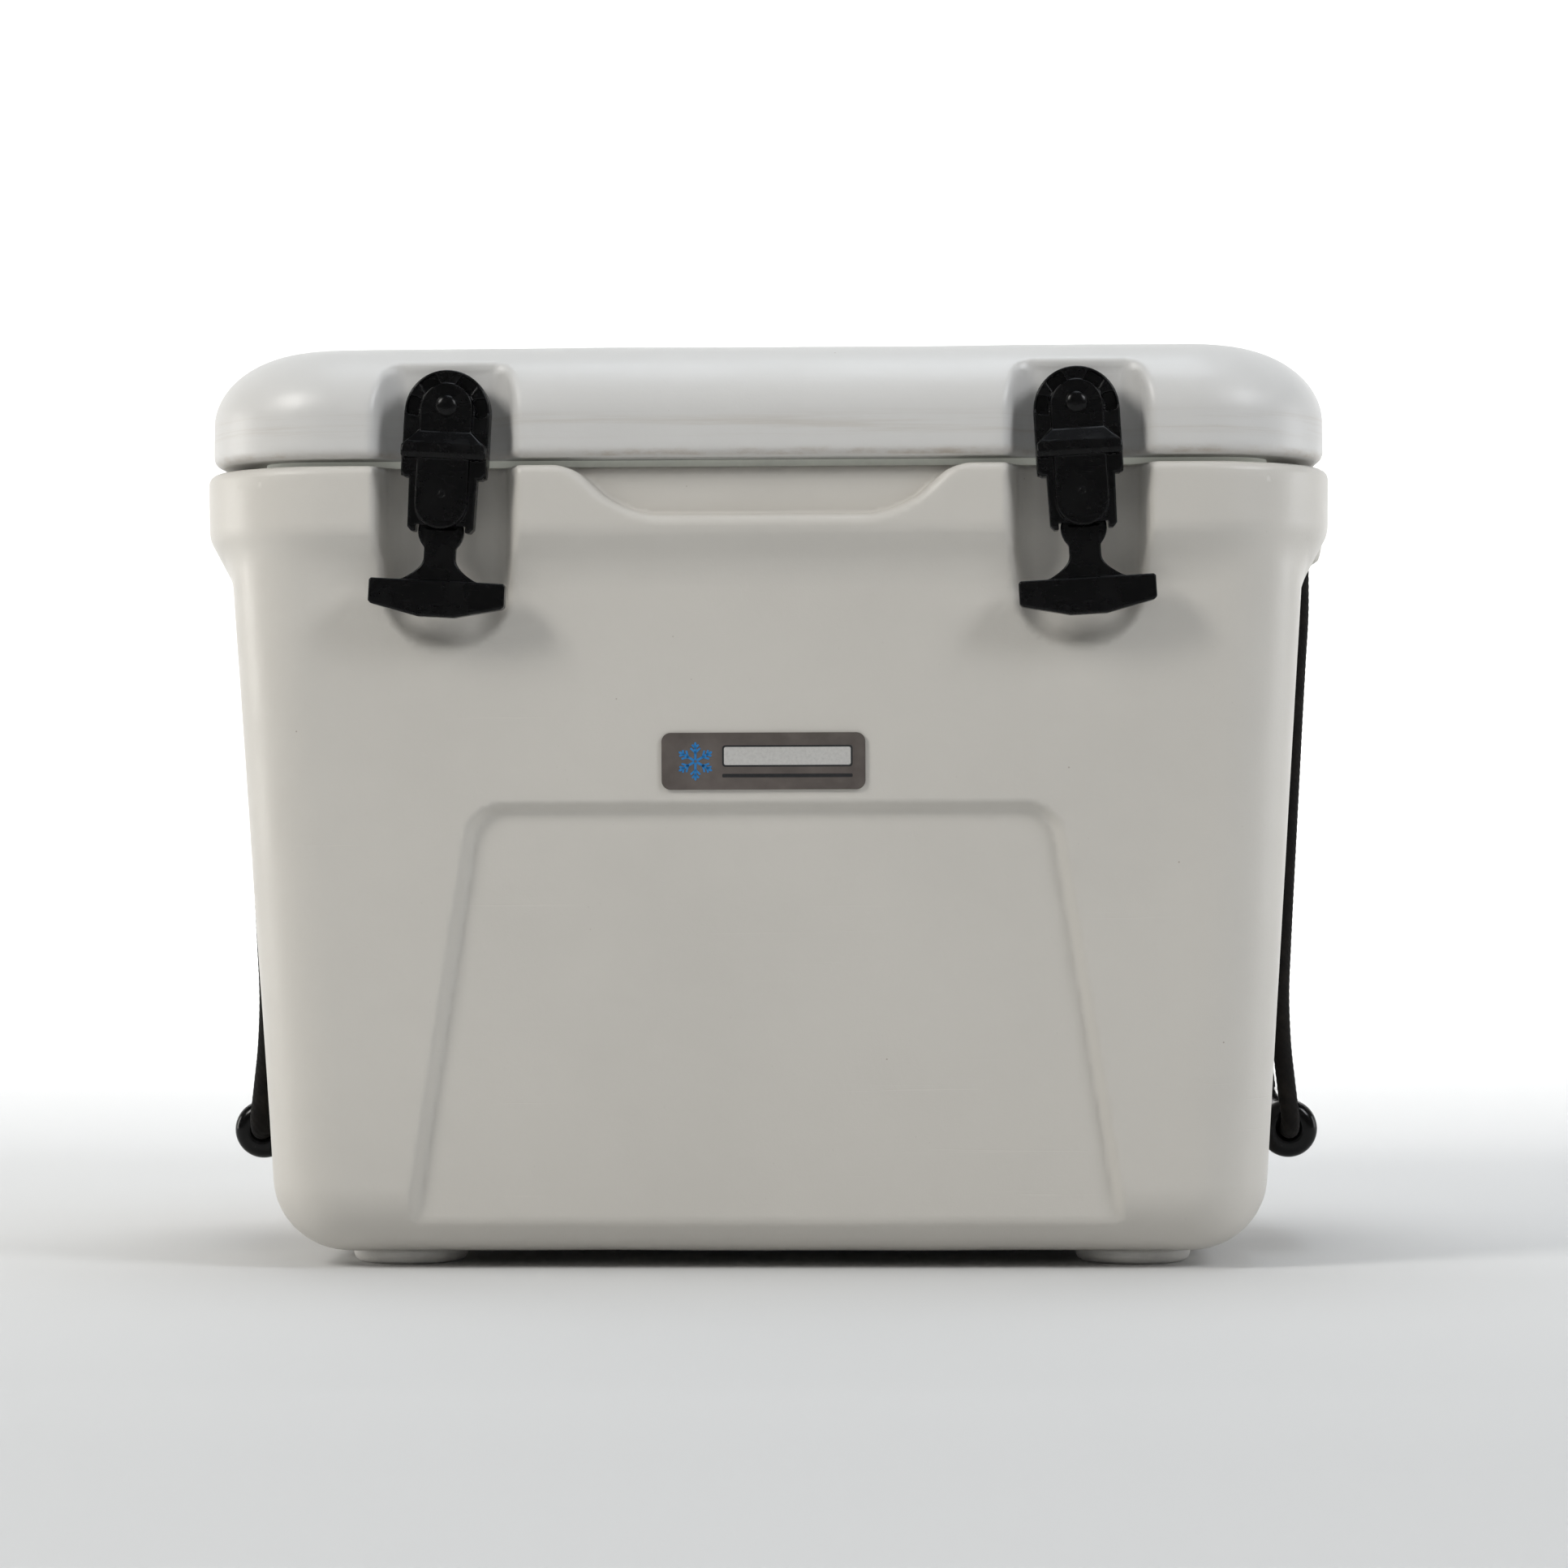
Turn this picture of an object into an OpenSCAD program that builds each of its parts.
// Rotomoulded cooler chest with a hinged lid, two T-handle latches, two rope handles and a drain plug.
// Frame: millimetres, +Z up, front towards -Y, origin on the floor under the middle of the chest.

/* [Chest] */
// Width of the tub's rim
rim_w = 570; // [560:1:576]
// Depth of the tub's rim, front to back
rim_d = 400; // [396:1:404]
// Height of the rim's top above the floor
rim_top = 403; // [400:1:405]
// Overall height with the lid closed
chest_h = 468.5; // [467:0.5:472]
// Slope of the side walls, outward run per unit of height
draft = 0.057; // [0.04:0.001:0.06]
// Thickness of the moulded plastic skin
wall = 4; // [3.5:0.1:4.5]

/* [Lid] */
// Gap between the tub's rim and the lid
lid_gap = 5.6; // [4:0.1:6.5]
// Opening angle of the lid, used only for viewing
lid_angle = 0; // [0:1:100]

/* [Latches] */
// Distance of each latch from the chest's middle
latch_x = 156.5; // [150:1:162]
// Angle at which each latch leans outwards at its foot
splay = 3.2; // [0:0.1:4]
// Width across the latch's round head
latch_w = 42.5; // [40:0.5:44]
// Width of the T-shaped pull
pull_w = 68; // [60:1:72]

/* [Handles] */
// Diameter of the handle rope
rope_d = 10; // [8:0.5:10.5]
// Diameter of the rigid grip on the rope
grip_d = 30.5; // [28:0.5:31]
// Length of the rigid grip
grip_len = 120; // [110:1:124]

/* [Feet] */
// Diameter of each foot
foot_d = 59; // [50:1:60]
// Height of each foot
foot_h = 7.5; // [7:0.5:9]

/* [Name plate] */
// Width of the plate on the front
plate_w = 102; // [80:1:110]
// Height of the plate on the front
plate_h = 28.5; // [24:0.5:32]

/* [Hidden] */
$fn = 48;

left = -1;
right = 1;

// Tub outline, half sizes
rim_hw = rim_w / 2;
rim_hd = rim_d / 2;
rim_corner = 72;
rim_low = 372;        // underside of the upright rim band
chamfer_low = 349;    // where the chamfer under the rim meets the body
rim_overhang = 13;    // from the body's wall to the rim's face
body_corner = 40;
bottom_r = 36;        // round between walls and bottom
rim_edge_r = 5;
corner_steps = 8;
round_steps = 4;

// Inner liner
liner_hw = 243;       // half width of the opening at the rim
liner_hd = 158;
liner_draft = 0.06;
liner_floor = 60;
liner_corner = 34;
liner_round = 6;

// Lid
lid_low = rim_top + lid_gap;
lid_hw = rim_hw - 2.5;
lid_hd = rim_hd - 2;
lid_corner = 70;
lid_edge_r = 5;
lid_crown_w = 54;     // how far the top edge's round reaches inwards
lid_crown_h = 39;     // and how far it reaches down
plug_low = 392;       // underside of the lid's inner plug
plug_gap = 3;         // between the plug and the liner
gasket_hw = 250;
gasket_hd = 165;
gasket_w = 8;
gasket_corner = 14;
groove_h = 3;

// Hinge at the rear
hinge_x = 180;
hinge_y = 205;
hinge_z = 406;
hinge_pin_r = 4;
ear_r = 9;
knuckle_r = 8.7;
knuckle_half = 11.5;
ear_in = 12.5;
ear_out = 24.5;
run_fit = 0.05;       // radial clearance of a pin in its bore

// Latches: heights in a latch's own frame count from the centre of its round head
latch_z = 431;
pocket_x = 158;
tub_pocket_floor = -178;
tub_pocket_half = 32;
tub_pocket_end = 345; // centre of the pocket's round lower end
lid_pocket_floor = -181;
lid_pocket_half = 31;
lid_pocket_top = 458.5;
head_back = -186.5;
head_front = -200;
head_low = -26;
body_back = -191.5;
panel_front = -203;
shield_front = -207;
ridge_front = -214;
shield_r = 13;
shield_turn = -45.5;  // centre of the shield's round foot
cheek_half = 16.8;
cheek_gap = 12.2;
cheek_low = -60.3;
web_low = -46;
pin_y = -190;
pin_z = 13;
latch_pin_r = 2;
pull_y = -197.5;
pull_z = -55;
pull_pin_r = 1.6;
pull_back = -194;
pull_face = -199.5;
bar_back = -196;
bar_front = -206;
ball_r = 4.5;
ball_y = -186.5;
ball_z = -43;
ball_stem_r = 2.8;

// Side handles
block_half = 88;      // half length of the block under the rim's end
knot_x = 277;
block_face = 287;     // outer face of the block
knot_y = 73;
rope_exit = 360;
bore_play = 0.6;
knot_floor = 385;
knot_pocket_r = 8.2;
grip_x = 271.5;
grip_z = 64;
rope_sides = 10;
// Rope of the right handle, from the block's front hole down to the middle of the grip
rope_half = [
    [277, -73, 359.6], [276.9, -73, 335], [275.4, -73, 310], [273.9, -73, 285],
    [272.5, -73, 260], [271.1, -73, 235], [269.7, -73, 210], [268.3, -73, 185],
    [267, -73, 160], [266, -73, 135], [266.8, -73, 110], [268.8, -73, 90],
    [270.2, -73, 78], [271, -72, 72.5], [271.4, -69, 67.5], [271.5, -64.5, 64.8],
    [271.5, -59, 64], [271.5, -40, 64], [271.5, -20, 64], [271.5, 0, 64]
];

// Drain, through the right-hand end
drain_y = 108;
drain_z = 76;
drain_bore_r = 9;
drain_tube_r = 14;
drain_face = 250;     // flat under the outer flange
drain_inner = 224.5;  // flat under the inner nut

// Feet and screws
foot_x = 187;
foot_y = 104;
screw_r = 2.2;

// Front details
plate_z = 257;
plate_t = 1.6;
plate_sunk = 0.4;
recess_top = 239;
recess_depth = 5.5;
scoop_floor = -186;
scoop_low = 379;
band_low = 308;       // foot of the front's solid band, which holds the pockets and the scoop
fill_r = 10;

// The walls meet at 45 degree planes through the corners
mitre = liner_hw - liner_hd + 1.5;
reach = 230;
// Top of the floor region, just above the liner's floor
floor_split = liner_floor + 0.05;

function body_hw(z) = rim_hw - rim_overhang - (chamfer_low - z) * draft;
function body_hd(z) = body_hw(z) - rim_hw + rim_hd + 2;
function liner_at(z) = liner_hw - (rim_top - z) * liner_draft;

// A rounded rectangle's points at one height, counter-clockwise from above
function ring(hw, hd, r, z) = [
    for (q = [0:3]) for (i = [0:corner_steps])
        let (
            a = 90 * (q + i / corner_steps),
            sx = (q == 0 || q == 3) ? 1 : -1,
            sy = q < 2 ? 1 : -1
        )
        [sx * (hw - r) + r * cos(a), sy * (hd - r) + r * sin(a), z]
];

function quarter(steps) = [for (t = [0:steps]) 90 * t / steps];

// Outer surface of the tub, moved inwards by g
function tub_rings(g) = concat(
    [for (a = quarter(round_steps))
        let (
            r = bottom_r - g,
            z = foot_h + g + r * (1 - cos(a)),
            e = g + r * (1 - sin(a))
        )
        ring(body_hw(z) - e, body_hd(z) - e, max(body_corner - e, 8), z)],
    [ring(body_hw(chamfer_low) - g, body_hd(chamfer_low) - g, body_corner - g, chamfer_low)],
    [ring(rim_hw - 1 - g, rim_hd - 1 - g, rim_corner - 1 - g, rim_low)],
    [ring(rim_hw - g, rim_hd - g, rim_corner - g, rim_low + 2)],
    [for (a = quarter(3))
        let (e = g + rim_edge_r * (1 - cos(a)))
        ring(rim_hw - e, rim_hd - e, rim_corner - e, rim_top - g - rim_edge_r * (1 - sin(a)))]
);

// Inner liner, moved outwards by g, reaching above the rim
function liner_rings(g) = concat(
    [for (a = quarter(3))
        let (
            z = liner_floor - g + liner_round * (1 - cos(a)),
            e = liner_round * (1 - sin(a)) - g
        )
        ring(liner_at(z) - e, liner_at(z) - liner_hw + liner_hd - e, liner_corner - e, z)],
    [ring(liner_at(rim_top + 1) + g, liner_at(rim_top + 1) - liner_hw + liner_hd + g,
        liner_corner + g, rim_top + 1)]
);

// Outer surface of the lid, moved inwards by g
function lid_rings(g) = concat(
    [for (a = quarter(2))
        let (e = g + lid_edge_r * (1 - sin(a)))
        ring(lid_hw - e, lid_hd - e, lid_corner - e, lid_low + g + lid_edge_r * (1 - cos(a)))],
    [for (a = quarter(6))
        let (
            e = g + (lid_crown_w - g) * (1 - cos(a)),
            z = chest_h - lid_crown_h + (lid_crown_h - g) * sin(a)
        )
        ring(lid_hw - e, lid_hd - e, max(lid_corner - e, 6), z)]
);

// The lid's inner plug, moved inwards by g
function plug_rings(g) = [
    ring(liner_at(plug_low) - plug_gap - 3 - g, liner_hd - liner_hw + liner_at(plug_low) - plug_gap - 3 - g,
        liner_corner - 6 - g, plug_low + g),
    ring(liner_at(plug_low) - plug_gap - g, liner_hd - liner_hw + liner_at(plug_low) - plug_gap - g,
        liner_corner - 3 - g, plug_low + 3 + g),
    ring(liner_hw - plug_gap - g, liner_hd - plug_gap - g, liner_corner - 3 - g, lid_low + 8)
];

// A solid through a stack of rings
module loft(rings) {
    n = len(rings[0]);
    m = len(rings);
    polyhedron(
        points = [for (r = rings) each r],
        faces = concat(
            [[for (i = [0:n - 1]) i]],
            [[for (i = [0:n - 1]) m * n - 1 - i]],
            [for (j = [0:m - 2]) for (i = [0:n - 1]) [j * n + i, (j + 1) * n + i, (j + 1) * n + (i + 1) % n]],
            [for (j = [0:m - 2]) for (i = [0:n - 1]) [j * n + i, (j + 1) * n + (i + 1) % n, j * n + (i + 1) % n]]
        )
    );
}

function unit(v) = v / norm(v);

// Arc that rounds the corner at b, between a and c; b holds [x, y, radius]
function corner_arc(a, b, c) =
    let (
        p = [b.x, b.y],
        u = unit([a.x, a.y] - p),
        w = unit([c.x, c.y] - p),
        half = acos(u * w) / 2,
        centre = p + unit(u + w) * b.z / sin(half),
        start = p + u * b.z / tan(half) - centre,
        finish = p + w * b.z / tan(half) - centre,
        a0 = atan2(start.y, start.x),
        turn = (atan2(finish.y, finish.x) - a0 + 540) % 360 - 180
    )
    b.z <= 0 ? [p] : [for (i = [0:6]) centre + b.z * [cos(a0 + turn * i / 6), sin(a0 + turn * i / 6)]];

// Outline through corners [x, y, radius], each rounded by its own radius
function outline(c) = [
    for (i = [0:len(c) - 1]) each corner_arc(c[(i + len(c) - 1) % len(c)], c[i], c[(i + 1) % len(c)])
];

// Half an outline and its mirror image in x = 0
function both_sides(c) = concat(c, [for (i = [len(c) - 1:-1:0]) [-c[i].x, c[i].y, c[i].z]]);

module rounded_rect(w, h, r) {
    square([w - 2 * r, h], center = true);
    square([w, h - 2 * r], center = true);
    for (x = [-1, 1]) for (y = [-1, 1]) translate([x * (w / 2 - r), y * (h / 2 - r)]) circle(r);
}

// Extrudes an outline drawn in X and Z between two depths
module depth(y_front, y_back) {
    translate([0, y_back, 0]) rotate([90, 0, 0]) linear_extrude(y_back - y_front) children();
}

// Extrudes an outline drawn in Y and Z between two places across the chest
module across(x_from, x_to) {
    translate([x_from, 0, 0]) rotate([90, 0, 90]) linear_extrude(x_to - x_from) children();
}

module rod(x_from, x_to, y, z, r) {
    translate([x_from, y, z]) rotate([0, 90, 0]) cylinder(r = r, h = x_to - x_from);
}

module box(lo, hi) {
    translate(lo) cube(hi - lo);
}

// Places something on the sloping front wall: x across, y up the wall, z outwards
module on_front_wall(z) {
    translate([0, -body_hd(z), z]) rotate([90 + atan(draft), 0, 0]) children();
}

// Places a latch piece drawn around its head's centre
module at_latch(side) {
    translate([side * latch_x, 0, latch_z]) rotate([0, -side * splay, 0]) children();
}

module screw_y(x, z, y_head, head_h, shank) {
    translate([x, y_head + head_h, z]) rotate([90, 0, 0]) cylinder(r = 3, h = head_h);
    translate([x, y_head + head_h + shank, z]) rotate([90, 0, 0]) cylinder(r = 1.6, h = shank);
}

/* ---- Tub ---- */

// Tapered panel let into the lower front
module front_recess(deep, grow) {
    half = 150 + grow;
    slope = 0.162;
    low = 217;
    on_front_wall(recess_top)
        translate([0, 0, -deep])
        linear_extrude(deep + 3)
        polygon(outline(both_sides([[half, grow, 19], [half + slope * low, -low, 0]])));
}

module tub_pocket() {
    for (side = [left, right])
        depth(-rim_hd - 3, tub_pocket_floor)
        translate([side * pocket_x, 0]) {
            translate([0, tub_pocket_end]) circle(tub_pocket_half);
            translate([-tub_pocket_half, tub_pocket_end]) square([2 * tub_pocket_half, rim_top + 2 - tub_pocket_end]);
        }
}

// Blocks under the rim's ends that hold the rope
module handle_block(side) {
    mirror([side == left ? 1 : 0, 0, 0])
        rotate([90, 0, 0])
        translate([0, 0, -block_half])
        linear_extrude(2 * block_half)
        polygon([[258, 352], [266, 352], [269, rope_exit], [283.6, rope_exit], [block_face, 371],
            [block_face, rim_top - 4], [block_face - 4, rim_top], [258, rim_top]]);
}

// One of the ears that stand either side of each lid knuckle
module hinge_ear(x_from, x_to) {
    rod(x_from, x_to, hinge_y, hinge_z, ear_r);
    across(x_from, x_to)
        polygon([[190, 374], [201, 374], [hinge_y + ear_r, 388], [hinge_y + ear_r, hinge_z],
            [hinge_y - ear_r, hinge_z], [190, 402]]);
}

// Space between skin and liner that the foam fills, shrunk by g
module foam_room(g) {
    difference() {
        loft(tub_rings(wall + g));
        loft(liner_rings(wall + g));
        box([-300, -210, band_low - wall - g], [300, tub_pocket_floor + wall + g, rim_top]);
        front_recess(recess_depth + wall + g, wall + g);
        for (side = [left, right]) {
            box([side * 273 - 16 - g, -block_half - 5 - g, 346 - g], [side * 273 + 16 + g, block_half + 5 + g, rim_top]);
            box([side * hinge_x - 32 - g, 186 - g, 388 - g], [side * hinge_x + 32 + g, 210, rim_top]);
            at_latch(side) box([-14 - g, -190, -54 - g], [14 + g, -164 + g, -28]);
        }
        rod(200, 270, drain_y, drain_z, 30 + g);
        for (x = [-foot_x, foot_x]) for (y = [-foot_y, foot_y])
            translate([x, y, 0]) cylinder(r = 12 + g, h = 30 + g);
    }
}

// Cuts around the hinge that the ears and the rear wall share
module hinge_cuts() {
    for (side = [left, right]) {
        rod(side * hinge_x - knuckle_half - 0.8, side * hinge_x + knuckle_half + 0.8, hinge_y, hinge_z, ear_r + 0.7);
        rod(side * hinge_x - 40, side * hinge_x + 40, hinge_y, hinge_z, hinge_pin_r + run_fit);
        for (e = [-ear_out - 4, ear_out])
            rod(side * hinge_x + e, side * hinge_x + e + 4, hinge_y, hinge_z, 7.4);
    }
}

module drain_cuts() {
    rod(200, drain_inner, drain_y, drain_z, 18);
    rod(drain_face, 300, drain_y, drain_z, 26);
    rod(210, 280, drain_y, drain_z, drain_tube_r + run_fit);
}

// The tub's shell, which the regions below share out
module tub_walls() {
    difference() {
        union() {
            loft(tub_rings(0));
            handle_block(left);
            handle_block(right);
        }
        loft(liner_rings(0));
        foam_room(0);
        tub_pocket();
        front_recess(recess_depth, 0);
        depth(-rim_hd - 3, scoop_floor)
            polygon(outline(both_sides([[98, rim_top + 3, 0], [92.5, rim_top - 2, 0], [66.5, scoop_low, 12]])));
        on_front_wall(plate_z)
            translate([0, 0, -plate_sunk])
            linear_extrude(3) rounded_rect(plate_w + 0.2, plate_h + 0.2, 4.6);
        for (side = [left, right]) {
            for (y = [-knot_y, knot_y]) translate([side * knot_x, y, 0]) {
                translate([0, 0, 336]) cylinder(r = rope_d / 2 + bore_play, h = 64);
                translate([0, 0, knot_floor]) cylinder(r = knot_pocket_r, h = 30);
            }
            at_latch(side) for (x = [-8, 8])
                translate([x, tub_pocket_floor + 9.3, -46]) rotate([90, 0, 0]) cylinder(r = 1.65, h = 12);
        }
        hinge_cuts();
        drain_cuts();
        translate([0, 0, foot_h - 1]) cylinder(r = fill_r, h = wall + 3);
        for (x = [-foot_x, foot_x]) for (y = [-foot_y, foot_y])
            translate([x, y, foot_h - 1]) cylinder(r = screw_r + run_fit, h = 18);
    }
}

module end_zone(side) {
    translate([0, 0, floor_split]) linear_extrude(rim_top)
        polygon([[side * mitre, 0], [side * (mitre + reach), -reach], [side * (mitre + reach), reach]]);
}

// Between the two end zones; way is -1 at the front and 1 at the rear
module long_zone(way, low, high) {
    translate([0, 0, low]) linear_extrude(high - low)
        polygon([[-mitre, 0], [mitre, 0], [mitre + reach, way * reach], [-mitre - reach, way * reach]]);
}

module tub_floor() {
    color("gainsboro") intersection() {
        tub_walls();
        box([-300, -reach, 0], [300, reach, floor_split]);
    }
}

module tub_end(side) {
    color("gainsboro") intersection() {
        tub_walls();
        end_zone(side);
    }
}

module tub_rear() {
    color("gainsboro") intersection() {
        tub_walls();
        long_zone(1, floor_split, rim_top + 5);
    }
}

module tub_front() {
    color("gainsboro") intersection() {
        tub_walls();
        long_zone(-1, floor_split, band_low);
    }
}

// Wall behind the pockets and the scoop
module tub_front_top() {
    color("gainsboro") intersection() {
        tub_walls();
        long_zone(-1, band_low, rim_top + 5);
        box([-300, tub_pocket_floor, band_low], [300, 0, rim_top + 5]);
    }
}

module tub_front_band() {
    color("gainsboro") intersection() {
        tub_walls();
        long_zone(-1, band_low, rim_top + 5);
        box([-300, -reach, band_low], [300, tub_pocket_floor, rim_top + 5]);
    }
}

module hinge_ears() {
    color("gainsboro") difference() {
        for (side = [left, right]) for (e = [-ear_out, ear_in])
            hinge_ear(side * hinge_x + e, side * hinge_x + e + ear_out - ear_in);
        loft(tub_rings(0));
        hinge_cuts();
    }
}

module tub_foam() {
    color("wheat") foam_room(0.3);
}

module tub_fill_plug() {
    color("gainsboro") translate([0, 0, foot_h + 0.5]) cylinder(r = fill_r - run_fit, h = wall - 0.5);
}

module foot(x, y) {
    r = foot_d / 2;
    color("whitesmoke") translate([x, y, 0])
    rotate_extrude($fn = 64)
    polygon(concat(
        [[screw_r + run_fit, foot_h], [r, foot_h], [r, 4]],
        [for (a = [20:20:80]) [r - 4 * (1 - cos(a)), 4 - 4 * sin(a)]],
        [[r - 4, 0], [5, 0], [5, 3], [screw_r + run_fit, 3]]
    ));
}

module foot_screws() {
    color("silver")
    for (x = [-foot_x, foot_x]) for (y = [-foot_y, foot_y]) translate([x, y, 0.6]) {
        cylinder(r = 4.7, h = 2.4);
        cylinder(r = screw_r, h = 23);
    }
}

module name_plate() {
    color("dimgray") on_front_wall(plate_z)
        translate([0, 0, -plate_sunk]) linear_extrude(plate_t) rounded_rect(plate_w, plate_h, 4.5);
}

module keeper(side) {
    color("#1c1c1e") at_latch(side) difference() {
        union() {
            box([-14, tub_pocket_floor - 3, -50], [14, tub_pocket_floor, -32]);
            box([-12, -188.5, -36], [12, tub_pocket_floor - 1, -32]);
            for (x = [-12, 9.5]) box([x, -185, -42], [x + 2.5, tub_pocket_floor - 1, -34]);
        }
        for (x = [-8, 8]) translate([x, tub_pocket_floor + 1, -46]) rotate([90, 0, 0]) cylinder(r = 1.65, h = 8);
    }
}

module keeper_screws() {
    color("silver")
    for (side = [left, right]) at_latch(side) for (x = [-8, 8])
        screw_y(x, -46, tub_pocket_floor - 4.6, 1.6, 12);
}

module drain_bushing() {
    color("#1c1c1e") difference() {
        union() {
            rod(215, drain_face + 2, drain_y, drain_z, drain_tube_r);
            rod(drain_face, drain_face + 4, drain_y, drain_z, 24);
        }
        rod(200, 280, drain_y, drain_z, drain_bore_r);
    }
}

module drain_nut() {
    color("#1c1c1e") difference() {
        translate([drain_inner - 6, drain_y, drain_z]) rotate([0, 90, 0]) cylinder(r = 17.5, h = 6, $fn = 6);
        rod(200, 240, drain_y, drain_z, drain_tube_r + run_fit);
    }
}

module handle_knots(side) {
    color("#151515") for (y = [-knot_y, knot_y]) translate([side * knot_x, y, 0]) {
        translate([0, 0, rope_exit]) cylinder(r = rope_d / 2, h = knot_floor + 13 - rope_exit);
        translate([0, 0, knot_floor + 6.4]) rotate_extrude() translate([4, 0]) circle(3.6);
    }
}

module handle_washers() {
    color("silver") for (side = [left, right]) for (y = [-knot_y, knot_y])
        translate([side * knot_x, y, knot_floor]) difference() {
            cylinder(r = knot_pocket_r - 0.5, h = 2);
            translate([0, 0, -1]) cylinder(r = rope_d / 2 + bore_play, h = 4);
        }
}

module hinge_pin(side) {
    x = side * hinge_x;
    color("silver") {
        rod(x - ear_out - 1, x + ear_out + 1, hinge_y, hinge_z, hinge_pin_r);
        for (e = [-ear_out - 2.5, ear_out + 0.5]) rod(x + e, x + e + 2, hinge_y, hinge_z, 6.2);
    }
}

/* ---- Lid ---- */

module lid_pocket(grow, floor_y) {
    for (side = [left, right])
        box([side * pocket_x - lid_pocket_half - grow, -lid_hd - 10, lid_low - 5],
            [side * pocket_x + lid_pocket_half + grow, floor_y, lid_pocket_top + grow]);
}

module lid_knuckle(side) {
    rod(side * hinge_x - knuckle_half, side * hinge_x + knuckle_half, hinge_y, hinge_z, knuckle_r);
    across(side * hinge_x - knuckle_half, side * hinge_x + knuckle_half)
        polygon([[190, 410.5], [hinge_y - 6, hinge_z + 4], [hinge_y + knuckle_r, hinge_z],
            [hinge_y + knuckle_r, 424], [206, 434], [186, 434]]);
}

// Space inside the lid that the foam fills, shrunk by g
module lid_foam_room(g) {
    difference() {
        union() {
            intersection() {
                loft(lid_rings(wall + g));
                box([-300, -220, lid_low + groove_h + 2.5 + g], [300, 220, chest_h]);
            }
            loft(plug_rings(wall + g));
        }
        lid_pocket(wall + g, lid_pocket_floor + wall + g);
        for (side = [left, right]) {
            box([side * latch_x - 18 - g, -200, 400], [side * latch_x + 18 + g, -165 + g, 446 + g]);
            box([side * hinge_x - 33 - g, 188 - g, 400], [side * hinge_x + 33 + g, 210, 422 + g]);
        }
    }
}

module lid_shell() {
    color("whitesmoke") difference() {
        union() {
            loft(lid_rings(0));
            loft(plug_rings(0));
            lid_knuckle(left);
            lid_knuckle(right);
        }
        lid_foam_room(0);
        lid_pocket(0, lid_pocket_floor);
        translate([0, 0, lid_low - 1]) linear_extrude(groove_h + 1) difference() {
            rounded_rect(2 * gasket_hw, 2 * gasket_hd, gasket_corner);
            rounded_rect(2 * (gasket_hw - gasket_w), 2 * (gasket_hd - gasket_w), gasket_corner - gasket_w);
        }
        for (side = [left, right]) {
            rod(side * hinge_x - 40, side * hinge_x + 40, hinge_y, hinge_z, hinge_pin_r + run_fit);
            for (e = [-ear_out - 4.5, knuckle_half])
                rod(side * hinge_x + e, side * hinge_x + e + 17.5, hinge_y, hinge_z, ear_r + 1);
            at_latch(side) for (x = [-10, 10])
                translate([x, lid_pocket_floor + 9.3, -5]) rotate([90, 0, 0]) cylinder(r = 1.65, h = 12);
        }
        translate([0, 0, plug_low - 1]) cylinder(r = fill_r, h = wall + 3);
    }
}

module lid_foam() {
    color("wheat") lid_foam_room(0.3);
}

module lid_gasket() {
    r = gasket_corner;
    color("lightgray") {
        translate([0, 0, lid_low - 0.4]) linear_extrude(groove_h + 0.2) difference() {
            rounded_rect(2 * gasket_hw - 0.4, 2 * gasket_hd - 0.4, r - 0.2);
            rounded_rect(2 * (gasket_hw - gasket_w) + 0.4, 2 * (gasket_hd - gasket_w) + 0.4, r - gasket_w + 0.2);
        }
        translate([0, 0, rim_top + 0.2]) linear_extrude(lid_gap - 0.4) difference() {
            rounded_rect(2 * gasket_hw - 2, 2 * gasket_hd - 2, r - 1);
            rounded_rect(2 * (gasket_hw - gasket_w) + 2, 2 * (gasket_hd - gasket_w) + 2, r - gasket_w + 1);
        }
    }
}

module lid_fill_plug() {
    color("whitesmoke") translate([0, 0, plug_low + 0.5]) cylinder(r = fill_r - run_fit, h = wall - 0.5);
}

module latch_mount(side) {
    color("#1c1c1e") at_latch(side) difference() {
        union() {
            box([-14, lid_pocket_floor - 3, -12], [14, lid_pocket_floor, 2]);
            box([-6, lid_pocket_floor - 5, -6], [6, lid_pocket_floor, pin_z + 4.5]);
            box([-6, pin_y, pin_z - 4.5], [6, lid_pocket_floor - 2, pin_z + 4.5]);
            rod(-6, 6, pin_y, pin_z, 4.5);
        }
        rod(-20, 20, pin_y, pin_z, latch_pin_r + run_fit);
        for (x = [-10, 10]) translate([x, lid_pocket_floor + 1, -5]) rotate([90, 0, 0]) cylinder(r = 1.65, h = 8);
    }
}

module mount_screws() {
    color("silver")
    for (side = [left, right]) at_latch(side) for (x = [-10, 10])
        screw_y(x, -5, lid_pocket_floor - 4.4, 1.4, 12);
}

module latch_pin(side) {
    color("silver") at_latch(side) rod(-14.5, 14.5, pin_y, pin_z, latch_pin_r);
}

/* ---- Latches ---- */

module arch(half, top, low) {
    translate([0, top]) circle(half);
    translate([-half, low]) square([2 * half, top - low]);
}

// Pockets moulded around the head's arch
module head_windows() {
    for (a = [9, 57, 123, 171]) rotate(a) translate([16.5, 0]) square([5.4, 8.6], center = true);
}

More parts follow.
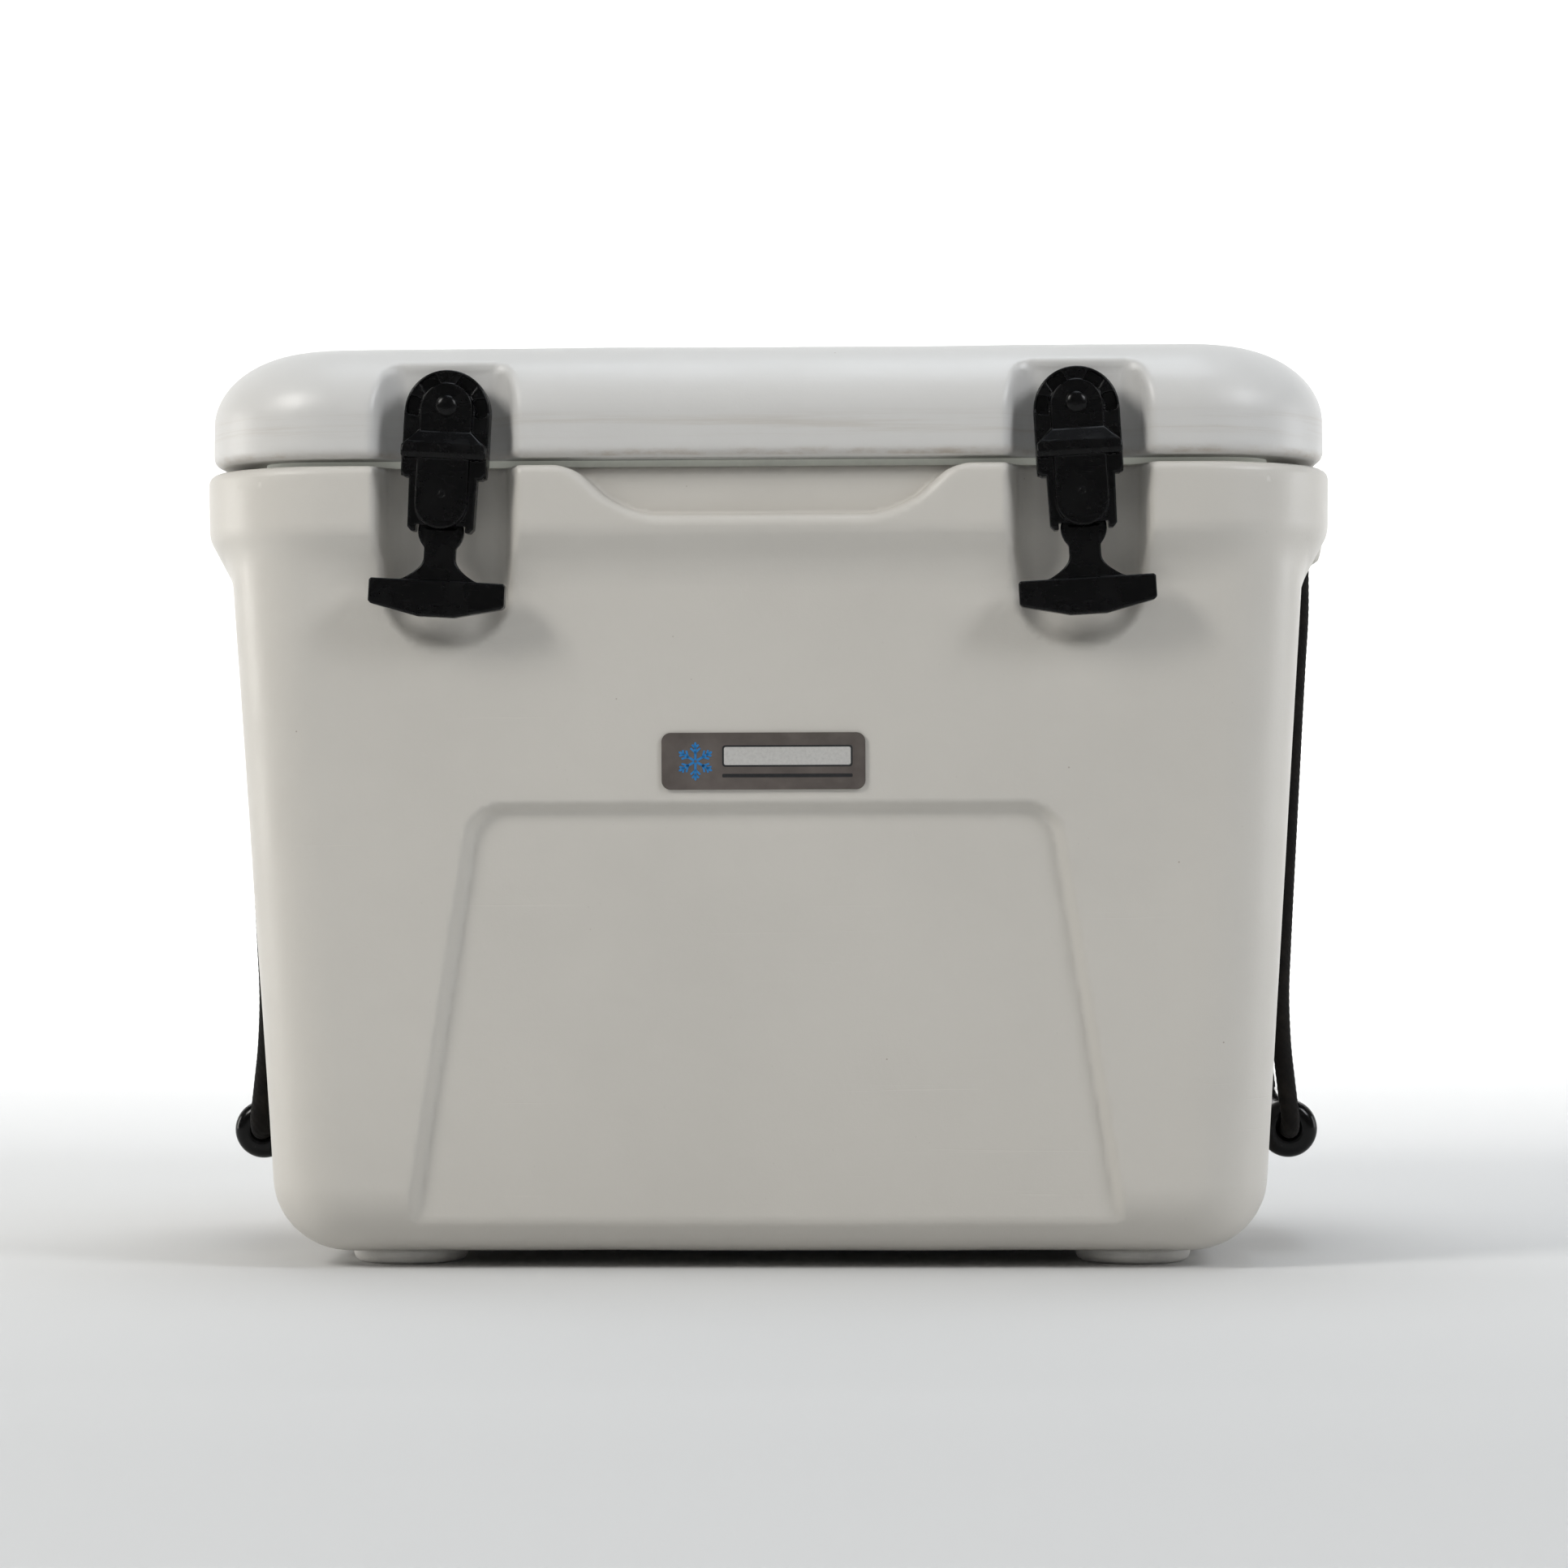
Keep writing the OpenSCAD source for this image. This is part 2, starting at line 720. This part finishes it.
module latch_body(side) {
    half = latch_w / 2;
    color("#151515") at_latch(side) difference() {
        union() {
            depth(head_front, head_back) arch(half, 0, head_low);
            depth(panel_front, head_front + 1) arch(13, 1.6, -22);
            depth(head_front - 1, body_back) arch(half, 0, -32.4);
            depth(head_front - 1, body_back) translate([-cheek_half, cheek_low]) square([2 * cheek_half, 30]);
            depth(shield_front, head_front) {
                translate([0, shield_turn]) circle(shield_r);
                translate([-shield_r, shield_turn]) square([2 * shield_r, 24]);
            }
            intersection() {
                depth(ridge_front - 1, head_front)
                    polygon(outline(both_sides([[13, -9, 0], [21, -17, 0], [21, -22, 0], [18, -24.6, 0]])));
                across(-30, 30)
                    polygon([[head_front + 1, -9], [panel_front, -9.5], [ridge_front + 2, -18], [ridge_front, -20.5],
                        [ridge_front + 1, -23], [shield_front, -24.6], [head_front + 1, -24.6]]);
            }
        }
        // Room for the pull between the cheeks
        box([-cheek_gap, panel_front, cheek_low - 1], [cheek_gap, body_back + 1, web_low]);
        // Room for the mount's knuckle behind the head
        box([-6.7, -195.3, pin_z - 5.5], [6.7, head_back + 1, half + 2]);
        depth(head_front - 1, head_front + 4) head_windows();
        rod(-14.7, 14.7, pin_y, pin_z, latch_pin_r + run_fit);
        rod(-15.7, 15.7, pull_y, pull_z, pull_pin_r + run_fit);
    }
}

module latch_button(side) {
    color("#151515") at_latch(side)
        translate([0, panel_front, 3]) rotate([90, 0, 0]) rotate_extrude()
        polygon(concat([[0, 0], [5.7, 0]], [for (a = [0:15:75]) [5.7 * cos(a), 0.5 + 1.7 * sin(a)]], [[0, 2.2]]));
}

module latch_ball(side) {
    color("#151515") at_latch(side) {
        translate([0, ball_y, ball_z]) sphere(ball_r);
        translate([0, ball_y, ball_z]) rotate([90, 0, 0]) cylinder(r = ball_stem_r, h = ball_y - body_back);
    }
}

module pull_pin(side) {
    color("silver") at_latch(side) rod(-15.5, 15.5, pull_y, pull_z, pull_pin_r);
}

module pull(side) {
    color("#151515") at_latch(side) difference() {
        union() {
            depth(pull_face, pull_back) {
                translate([0, -59.3]) circle(11.4);
                polygon(outline(both_sides([[8.2, -60, 0], [7.9, -76, 20], [17, -84.6, 0], [17, -92, 0]])));
            }
            depth(bar_front, bar_back)
                polygon(outline(both_sides([[6, -80, 3], [14, -84.2, 12], [pull_w / 2, -84.2, 3],
                    [pull_w / 2, -93.4, 4], [3, -102.3, 6]])));
        }
        rod(-20, 20, pull_y, pull_z, pull_pin_r + run_fit);
    }
}

/* ---- Handles ---- */

function rope_route() = concat(rope_half, [for (i = [len(rope_half) - 2:-1:0])
    [rope_half[i].x, -rope_half[i].y, rope_half[i].z]]);

// Tube with a ring of points around every point of its route
module tube(route, r) {
    n = len(route);
    s = rope_sides;
    points = [for (i = [0:n - 1])
        let (
            t = unit(route[min(i + 1, n - 1)] - route[max(i - 1, 0)]),
            u = unit(cross(t, [1, 0, 0])),
            v = cross(t, u)
        )
        for (k = [0:s - 1]) route[i] + r * (u * cos(360 * k / s) + v * sin(360 * k / s))];
    faces = concat(
        [[for (k = [0:s - 1]) s - 1 - k]],
        [[for (k = [0:s - 1]) (n - 1) * s + k]],
        [for (i = [0:n - 2]) for (k = [0:s - 1]) [i * s + k, i * s + (k + 1) % s, (i + 1) * s + (k + 1) % s]],
        [for (i = [0:n - 2]) for (k = [0:s - 1]) [i * s + k, (i + 1) * s + (k + 1) % s, (i + 1) * s + k]]
    );
    polyhedron(points = points, faces = [for (f = faces) [for (k = [len(f) - 1:-1:0]) f[k]]]);
}

module rope(side) {
    color("#151515") mirror([side == left ? 1 : 0, 0, 0]) tube(rope_route(), rope_d / 2 - 0.1);
}

module grip(side) {
    r = grip_d / 2;
    half = grip_len / 2;
    color("#151515") translate([side * grip_x, 0, grip_z]) rotate([90, 0, 0]) rotate_extrude()
        polygon([[6.4, -half + 1], [7.6, -half], [r - 3, -half], [r - 0.9, -half + 0.9], [r, -half + 3],
            [r, half - 3], [r - 0.9, half - 0.9], [r - 3, half], [7.6, half], [6.4, half - 1]]);
}

/* ---- Drain plug ---- */

module drain_washer() {
    color("#222222") difference() {
        rod(drain_face + 4.3, drain_face + 6.7, drain_y, drain_z, 14);
        rod(200, 300, drain_y, drain_z, drain_bore_r + 0.5);
    }
}

module drain_plug() {
    color("#1c1c1e") difference() {
        union() {
            rod(232, drain_face + 8, drain_y, drain_z, drain_bore_r - 0.07);
            rod(drain_face + 7, drain_face + 22, drain_y, drain_z, 16);
        }
        // Finger flutes around the knob
        for (a = [0:45:315]) translate([drain_face + 10, drain_y, drain_z]) rotate([a, 0, 0])
            translate([0, 18, 0]) rotate([0, 90, 0]) cylinder(r = 4, h = 20);
        // Drain cone hollowed into the plug's inner end
        rod(220, 246, drain_y, drain_z, 5);
    }
}

module lid_swing() {
    translate([0, hinge_y, hinge_z]) rotate([-lid_angle, 0, 0]) translate([0, -hinge_y, -hinge_z]) children();
}

tub_floor();
tub_front();
tub_front_top();
tub_front_band();
tub_rear();
tub_end(left);  // tub_end_left
tub_end(right);  // tub_end_right
hinge_ears();
tub_foam();
tub_fill_plug();
foot(-foot_x, -foot_y);  // foot_front_left
foot(foot_x, -foot_y);  // foot_front_right
foot(-foot_x, foot_y);  // foot_rear_left
foot(foot_x, foot_y);  // foot_rear_right
foot_screws();
name_plate();
keeper(left);  // keeper_left
keeper(right);  // keeper_right
keeper_screws();
drain_bushing();
drain_nut();
handle_knots(left);  // handle_knots_left
handle_knots(right);  // handle_knots_right
handle_washers();
hinge_pin(left);  // hinge_pin_left
hinge_pin(right);  // hinge_pin_right
lid_swing() lid_shell();
lid_swing() lid_foam();
lid_swing() lid_gasket();
lid_swing() lid_fill_plug();
lid_swing() latch_mount(left);  // latch_mount_left
lid_swing() latch_mount(right);  // latch_mount_right
lid_swing() mount_screws();
lid_swing() latch_pin(left);  // latch_pin_left
lid_swing() latch_pin(right);  // latch_pin_right
lid_swing() latch_body(left);  // latch_body_left
lid_swing() latch_body(right);  // latch_body_right
lid_swing() latch_button(left);  // latch_button_left
lid_swing() latch_button(right);  // latch_button_right
lid_swing() latch_ball(left);  // latch_ball_left
lid_swing() latch_ball(right);  // latch_ball_right
lid_swing() pull_pin(left);  // pull_pin_left
lid_swing() pull_pin(right);  // pull_pin_right
lid_swing() pull(left);  // pull_left
lid_swing() pull(right);  // pull_right
rope(left);  // rope_left
rope(right);  // rope_right
grip(left);  // grip_left
grip(right);  // grip_right
drain_washer();
drain_plug();
